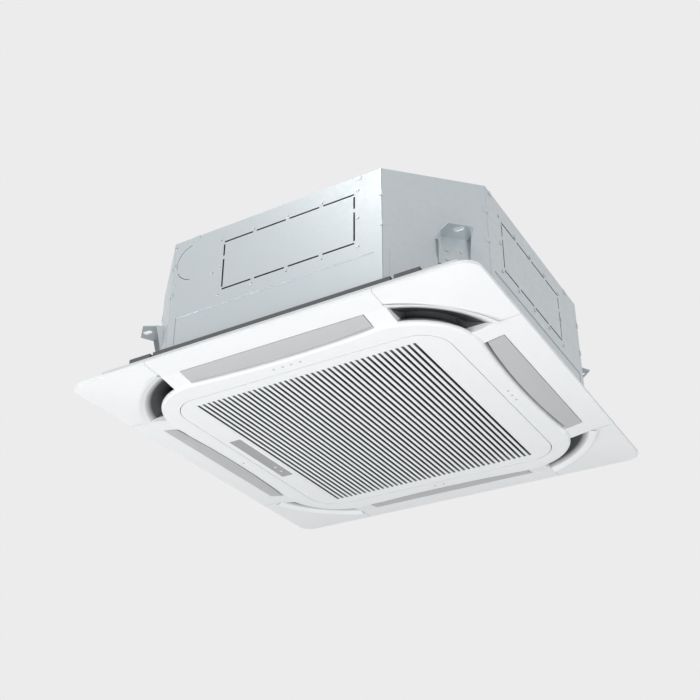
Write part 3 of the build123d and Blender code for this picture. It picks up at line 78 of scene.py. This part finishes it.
class Finish:
    """One material: its shader, its node tree and the pattern space of the object."""

    def __init__(self, name, colour, roughness, metallic=0.0, coat=0.0):
        self.material = bpy.data.materials.new(name)
        self.material.use_nodes = True
        self.material.diffuse_color = (*colour, 1)
        self.tree = self.material.node_tree
        self.shader = self.tree.nodes["Principled BSDF"]
        self.colour = colour
        self.set("Base Color", (*colour, 1))
        self.set("Roughness", roughness)
        self.set("Metallic", metallic)
        self.set("Coat Weight", coat)
        self.place = self.node("ShaderNodeTexCoord").outputs["Object"]

    def set(self, socket, value):
        self.shader.inputs[socket].default_value = value

    def link(self, value, target):
        """Feeds a level, a socket or a plain value to an input."""
        if isinstance(value, Level):
            value = value.socket
        if isinstance(value, bpy.types.NodeSocket):
            self.tree.links.new(value, target)
        else:
            target.default_value = value

    def node(self, kind, settings=None, values=None):
        """Adds one node, with its settings first and then what its sockets take."""
        made = self.tree.nodes.new(kind)
        for key, value in (settings or {}).items():
            if key == "stops":
                ramp = made.color_ramp.elements
                while len(ramp) < len(value):
                    ramp.new(0.5)
                for stop, (place, colour) in zip(ramp, value):
                    stop.position = place
                    stop.color = (*colour, 1)
            else:
                setattr(made, key, value)
        for key, value in (values or {}).items():
            self.link(value, made.inputs[key])
        return made

    def noise(self, scale, detail=2.0, stretch=(1, 1, 1)):
        place = self.node("ShaderNodeMapping", None, {"Vector": self.place, "Scale": stretch})
        made = self.node(
            "ShaderNodeTexNoise", None, {"Vector": place.outputs[0], "Scale": scale, "Detail": detail}
        )
        return Level(self, made.outputs["Fac"])

    def axes(self):
        """The three coordinates of the pattern space, as levels."""
        made = self.node("ShaderNodeSeparateXYZ", None, {0: self.place})
        return [Level(self, out) for out in made.outputs]

    def facing(self):
        """How far a face looks along each axis, whichever way it faces."""
        normal = self.node("ShaderNodeNewGeometry").outputs["Normal"]
        made = self.node("ShaderNodeSeparateXYZ", None, {0: normal})
        return [Level(self, out).size() for out in made.outputs]

    def mix(self, amount, first, second):
        made = self.node("ShaderNodeMix", {"data_type": "RGBA"}, {"Factor": amount})
        self.link(first, made.inputs[6])
        self.link(second, made.inputs[7])
        return made.outputs[2]

    def paint(self, amount, other):
        """Blends the base colour towards another by a level."""
        self.link(self.mix(amount, (*self.colour, 1), (*other, 1)), self.shader.inputs["Base Color"])

    def feed(self, socket, value):
        self.link(value, self.shader.inputs[socket])

    def bump(self, height, strength, distance):
        made = self.node(
            "ShaderNodeBump", None, {"Height": height, "Strength": strength, "Distance": distance}
        )
        self.tree.links.new(made.outputs[0], self.shader.inputs["Normal"])


def shade(colour, factor):
    return tuple(min(1.0, c * factor) for c in colour)


GRAIN_SCALE = 2400.0
GRAIN_DEPTH = 0.00004
CRYSTALS_PER_METRE = 95.0
FIN_PITCH = 0.0018
TUBE_PITCH = 0.021
NET_PITCH = 0.0036
THREAD_LEVEL = 0.45
NET_OPEN = 0.4


def satin_grain(finish, roughness):
    """Uneven sheen round a roughness, and a fine moulded grain."""
    finish.feed("Roughness", finish.noise(30.0, 3.0) * 0.1 + (roughness - 0.05))
    finish.bump(finish.noise(GRAIN_SCALE, 1.0), 0.25, GRAIN_DEPTH)


def moulded(name, colour, roughness, coat=0.0):
    """Moulded plastic: a little cloudiness and a fine satin grain."""
    finish = Finish(name, colour, roughness, coat=coat)
    cloud = finish.noise(5.0, 3.0)
    finish.paint(cloud * 0.5, shade(colour, 0.965))
    satin_grain(finish, roughness)
    return finish


def galvanised(name, colour, roughness):
    """Galvanised sheet: pale crystals a few millimetres across, faint streaks and a soft sheen."""
    finish = Finish(name, colour, roughness, metallic=0.72)
    spacing = {"Vector": finish.place, "Scale": CRYSTALS_PER_METRE}
    crystals = finish.node("ShaderNodeTexVoronoi", {"distance": "CHEBYCHEV"}, spacing)
    tint = finish.node("ShaderNodeSeparateColor", None, {0: crystals.outputs["Color"]})
    spangle = Level(finish, tint.outputs[0])
    streak = finish.noise(9.0, 4.0, (1, 1, 0.25))
    finish.paint(spangle * 0.16 + streak * 0.34, shade(colour, 0.86))
    finish.feed("Roughness", spangle * 0.08 + streak * 0.1 + (roughness - 0.08))
    finish.bump(streak, 0.12, 0.002)
    return finish


def cast_metal(name, colour, roughness, metallic=1.0):
    finish = Finish(name, colour, roughness, metallic)
    wear = finish.noise(60.0, 4.0)
    finish.paint(wear * 0.4, shade(colour, 0.8))
    finish.feed("Roughness", wear * 0.2 + (roughness - 0.1))
    return finish


def foam(name, colour, bead, depth):
    """Foam: rounded beads pressed together."""
    finish = Finish(name, colour, 0.9)
    beads = finish.node("ShaderNodeTexVoronoi", None, {"Vector": finish.place, "Scale": 1 / bead})
    height = Level(finish, beads.outputs["Distance"])
    finish.paint(height * 0.5, shade(colour, 0.82))
    finish.feed("Roughness", 0.95 - height * 0.1)
    finish.bump(height, 0.5, depth)
    return finish


def finned():
    """Coil: thin aluminium fins standing upright, seen edge on."""
    colour = (0.60, 0.61, 0.63)
    finish = Finish("fin aluminium", colour, 0.38, metallic=0.85)
    x, y, z = finish.axes()
    look_x, look_y, _ = finish.facing()
    along = x * look_y + y * look_x
    fins = (along * (tau / FIN_PITCH)).wave() * 0.5 + 0.5
    tubes = (z * (tau / TUBE_PITCH)).wave() * 0.5 + 0.5
    # Painted shade: the dark stripes between the fins stand for the shaded gaps between them.
    finish.paint(fins * 0.75 + tubes * 0.1, (0.10, 0.105, 0.11))
    finish.feed("Roughness", fins * 0.2 + 0.3)
    finish.bump(fins, 0.6, 0.0006)
    return finish


def netting():
    """Filter net: a fine square weave, see-through between its threads."""
    colour = (0.06, 0.065, 0.07)
    finish = Finish("filter net", colour, 0.7)
    x, y, _ = finish.axes()
    step = tau / NET_PITCH
    weave = ((x * step).wave().size() > THREAD_LEVEL) * ((y * step).wave().size() > THREAD_LEVEL)
    finish.paint(finish.noise(12.0) * 0.5, (0.09, 0.095, 0.10))
    finish.feed("Alpha", 1 - weave * NET_OPEN)
    finish.feed("Roughness", finish.noise(20.0) * 0.2 + 0.6)
    return finish


def board():
    colour = (0.05, 0.20, 0.09)
    finish = Finish("circuit board", colour, 0.4)
    tracks = finish.node("ShaderNodeTexBrick", None, {"Vector": finish.place, "Scale": 110.0})
    finish.paint(Level(finish, tracks.outputs["Fac"]) * 0.5, (0.10, 0.30, 0.15))
    finish.feed("Roughness", finish.noise(40.0) * 0.2 + 0.3)
    return finish


def smoked():
    """Display window: smooth grey plastic with a glossy face."""
    colour = (0.40, 0.40, 0.41)
    finish = Finish("window grey", colour, 0.18, coat=0.4)
    finish.paint(finish.noise(9.0) * 0.4, shade(colour, 0.94))
    finish.feed("Roughness", finish.noise(25.0) * 0.06 + 0.15)
    return finish


# Half sizes and levels of the panel's recesses, in metres, and the strength and colour of the shade painted
# into them
COVER_EDGE = 0.26715
SEAM_HALF = 0.0006
SEAM_DARK = 0.45
RIM_TOP = -0.001
OUTLET_HALF = 0.4205
BOX_INSIDE = 0.4335
BOX_CORNER_SUM = 0.847
BOX_LOW = -0.004
BOX_HIGH = 0.0365
BOX_SHADE = 0.85
WALL_LOW = -0.0098
WALL_START = 0.0112
WALL_SHADE_RAMP = 130
SLOT_FIELD_X = 0.2683
SLOT_FIELD_Y = 0.2985
SLAT_FACE = -0.0229
SLOT_SHADE = 0.93
KNOCKOUT_SHADE_PLACE = 0.414
WHITE = (0.90, 0.905, 0.905)
PAINTED_SHADE_COLOUR = (0.035, 0.037, 0.04)
PANEL_ROUGHNESS = 0.42


def within(level, half):
    """One where a level's size is under half, else nought."""
    return level.size() < half


def panel_plastic(name, rule):
    """White moulding with shade painted into its colour by a rule of its three coordinates, where light
    hardly reaches.
    """
    finish = Finish(name, WHITE, PANEL_ROUGHNESS)
    finish.paint(rule(*finish.axes()) + finish.noise(5.0, 3.0) * 0.02, PAINTED_SHADE_COLOUR)
    satin_grain(finish, PANEL_ROUGHNESS)
    return finish


def seam(x, y, z):
    """Shadow line of the joint between the frame and its corner covers."""
    across = within(x.size() - COVER_EDGE, SEAM_HALF) * (y.size() > OUTLET_HALF)
    along = within(y.size() - COVER_EDGE, SEAM_HALF) * (x.size() > OUTLET_HALF)
    return (across + along) * (z < RIM_TOP) * SEAM_DARK


def frame_rule(x, y, z):
    """Painted shade: ducts and outlets are dark above the rim, inside the box, where light hardly reaches.
    """
    inside = within(x, BOX_INSIDE) * within(y, BOX_INSIDE) * (x.size() + y.size() < BOX_CORNER_SUM)
    return inside * (z > BOX_LOW) * (z < BOX_HIGH) * BOX_SHADE + seam(x, y, z)


def cover_rule(x, y, z):
    """Painted shade on the outlet's sloping wall, getting darker with its height."""
    inside = within(x, OUTLET_HALF) * within(y, OUTLET_HALF) * (z > WALL_LOW)
    return inside * (z + WALL_START) * WALL_SHADE_RAMP + seam(x, y, z)


def grille_rule(x, y, z):
    """The walls between the slats are in shade."""
    return within(x, SLOT_FIELD_X) * within(y, SLOT_FIELD_Y) * (z > SLAT_FACE) * SLOT_SHADE


finishes = {
    "panel_white": moulded("panel white", WHITE, PANEL_ROUGHNESS),
    "louvre_grey": moulded("louvre grey", (0.53, 0.535, 0.535), 0.45),
    "sheet_steel": galvanised("galvanised sheet", (0.60, 0.645, 0.665), 0.36),
    "dark_plastic": moulded("dark plastic", (0.045, 0.045, 0.05), 0.5),
    "window_grey": smoked(),
    "lens": moulded("pale lens", (0.80, 0.80, 0.78), 0.2, coat=0.5),
    "foam_grey": foam("grey foam strip", (0.16, 0.16, 0.165), 0.0016, 0.0004),
    "foam_white": foam("white foam", (0.80, 0.80, 0.78), 0.004, 0.0003),
    "fin_aluminium": finned(),
    "copper": cast_metal("copper tube", (0.72, 0.37, 0.22), 0.3),
    "brass": cast_metal("brass", (0.72, 0.55, 0.28), 0.32),
    "steel_zinc": cast_metal("zinc plated steel", (0.66, 0.67, 0.68), 0.35, 0.8),
    "rubber": moulded("rubber", (0.03, 0.03, 0.03), 0.75),
    "filter_net": netting(),
    "board_green": board(),
    "fan_plastic": moulded("fan plastic", (0.13, 0.135, 0.14), 0.45),
    "motor_black": moulded("motor enamel", (0.04, 0.04, 0.042), 0.4),
    "connector_beige": moulded("connector nylon", (0.66, 0.64, 0.56), 0.5),
}
# Near-black painted on the liner beyond its outer band is painted shade: it stands in for the dark dashes
# seen through the casing's knock-outs, not a real black skin on the foam.
liner = foam("foam with painted shade", (0.80, 0.80, 0.78), 0.004, 0.0003)
liner_x, liner_y, _ = liner.axes()
knockout_shade = (liner_x.size() > KNOCKOUT_SHADE_PLACE) + (liner_y.size() > KNOCKOUT_SHADE_PLACE)
liner.paint(knockout_shade, (0.02, 0.02, 0.02))
own_finish = {
    "panel_frame": panel_plastic("frame white", frame_rule),
    "intake_grille": panel_plastic("grille white", grille_rule),
    "insulation_liner": liner,
}
cover_white = panel_plastic("cover white", cover_rule)
for part in frame["record"]["subparts"]:
    name = part["node"]
    node = nodes[name]
    finish = own_finish.get(name, finishes[part["material_slot"]])
    if name.startswith("corner_cover"):
        finish = cover_white
    node.data.materials.clear()
    node.data.materials.append(finish.material)


# Small round marks moulded in the ring, that number the louvres

def nothing_selected():
    if bpy.context.object and bpy.context.object.mode != "OBJECT":
        bpy.ops.object.mode_set(mode="OBJECT")
    bpy.ops.object.select_all(action="DESELECT")


def settle(piece, name, finish, body):
    """Names a finished piece, puts its place in its mesh and gives it a finish and a body."""
    nothing_selected()
    piece.select_set(True)
    bpy.context.view_layer.objects.active = piece
    bpy.ops.object.transform_apply(location=True, rotation=True, scale=True)
    piece.name = name
    piece.data.materials.clear()
    piece.data.materials.append(finish.material)
    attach(piece, body)


ring_low = -0.0235
mark_r = 0.0028
marks = [(x, -0.347) for x in (-0.033, -0.011, 0.009, 0.031)]
marks += [(0.343, y) for y in (-0.024, -0.002, 0.020)]
marks += [(-0.011, 0.342), (0.012, 0.342), (-0.347, -0.006)]
mark_grey = moulded("mark grey", (0.55, 0.55, 0.55), 0.5)
nothing_selected()
dots = []
for x, y in marks:
    bpy.ops.mesh.primitive_cylinder_add(vertices=24, radius=mark_r, depth=0.0006, location=(x, y, ring_low))
    dots.append(bpy.context.object)
nothing_selected()
for dot in dots:
    dot.select_set(True)
bpy.context.view_layer.objects.active = dots[0]
bpy.ops.object.join()
settle(dots[0], "louvre_marks", mark_grey, "casing")


# Floor, light and camera

def plain(name, colour):
    finish = Finish(name, colour, 0.9)
    finish.paint(finish.noise(1.5) * 0.2, shade(colour, 0.99))
    return finish


nothing_selected()
bpy.ops.mesh.primitive_plane_add(size=30, location=(0, 0, -1.9))
floor = bpy.context.object
floor.name = "floor"
floor.data.materials.append(plain("floor", (0.84, 0.84, 0.84)).material)

world = bpy.data.worlds.new("room")
bpy.context.scene.world = world
world.use_nodes = True
tree = world.node_tree
light_path = tree.nodes.new("ShaderNodeLightPath")
backdrop = tree.nodes["Background"]
backdrop.inputs["Color"].default_value = (0.94, 0.97, 1.0, 1)
backdrop.inputs["Strength"].default_value = 0.54
seen = tree.nodes.new("ShaderNodeBackground")
seen.inputs["Color"].default_value = (0.838, 0.838, 0.838, 1)
seen.inputs["Strength"].default_value = 1.0
either = tree.nodes.new("ShaderNodeMath")
either.operation = "MAXIMUM"
tree.links.new(light_path.outputs["Is Camera Ray"], either.inputs[0])
tree.links.new(light_path.outputs["Is Glossy Ray"], either.inputs[1])
either_more = tree.nodes.new("ShaderNodeMath")
either_more.operation = "MAXIMUM"
tree.links.new(either.outputs[0], either_more.inputs[0])
tree.links.new(light_path.outputs["Is Transmission Ray"], either_more.inputs[1])
chooser = tree.nodes.new("ShaderNodeMixShader")
tree.links.new(either_more.outputs[0], chooser.inputs[0])
tree.links.new(backdrop.outputs[0], chooser.inputs[1])
tree.links.new(seen.outputs[0], chooser.inputs[2])
tree.links.new(chooser.outputs[0], tree.nodes["World Output"].inputs["Surface"])


def lamp(name, place, aim, size, power, colour=(1, 1, 1)):
    """Square soft light at a place, aimed at a point."""
    light = bpy.data.lights.new(name, "AREA")
    light.shape = "SQUARE"
    light.size = size
    light.energy = power
    light.color = colour
    holder = bpy.data.objects.new(name, light)
    bpy.context.scene.collection.objects.link(holder)
    holder.location = place
    holder.rotation_euler = (Vector(aim) - Vector(place)).to_track_quat("-Z", "Y").to_euler()


lamp("key from below left", (-1.2, -1.8, -1.8), (0, 0, 0.0), 1.2, 42)
lamp("fill from below right", (1.25, -1.05, -2.0), (0, -0.1, 0), 1.4, 58)
lamp("top light", (-0.2, -1.9, 2.6), (0, -0.3, 0.3), 1.6, 30)

eye = Vector((1.0972, -1.9665, -1.1375))
ahead = Vector((-0.43600693, 0.74292395, 0.50789955))
right = Vector((0.86305, 0.5051144, 0.00203622))
up = Vector((0.25503462, -0.43923051, 0.8614139))
focal_pixels = 1112.0
picture_pixels = 700.0
camera_data = bpy.data.cameras.new("camera")
camera_data.sensor_width = 36.0
camera_data.lens = 36.0 * focal_pixels / picture_pixels
camera_data.clip_start = 0.05
camera_data.clip_end = 60
camera = bpy.data.objects.new("camera", camera_data)
bpy.context.scene.collection.objects.link(camera)
turn = Matrix((right, up, -ahead)).transposed().to_4x4()
camera.matrix_world = Matrix.Translation(eye) @ turn
bpy.context.scene.camera = camera
bpy.context.scene.view_settings.view_transform = "Standard"
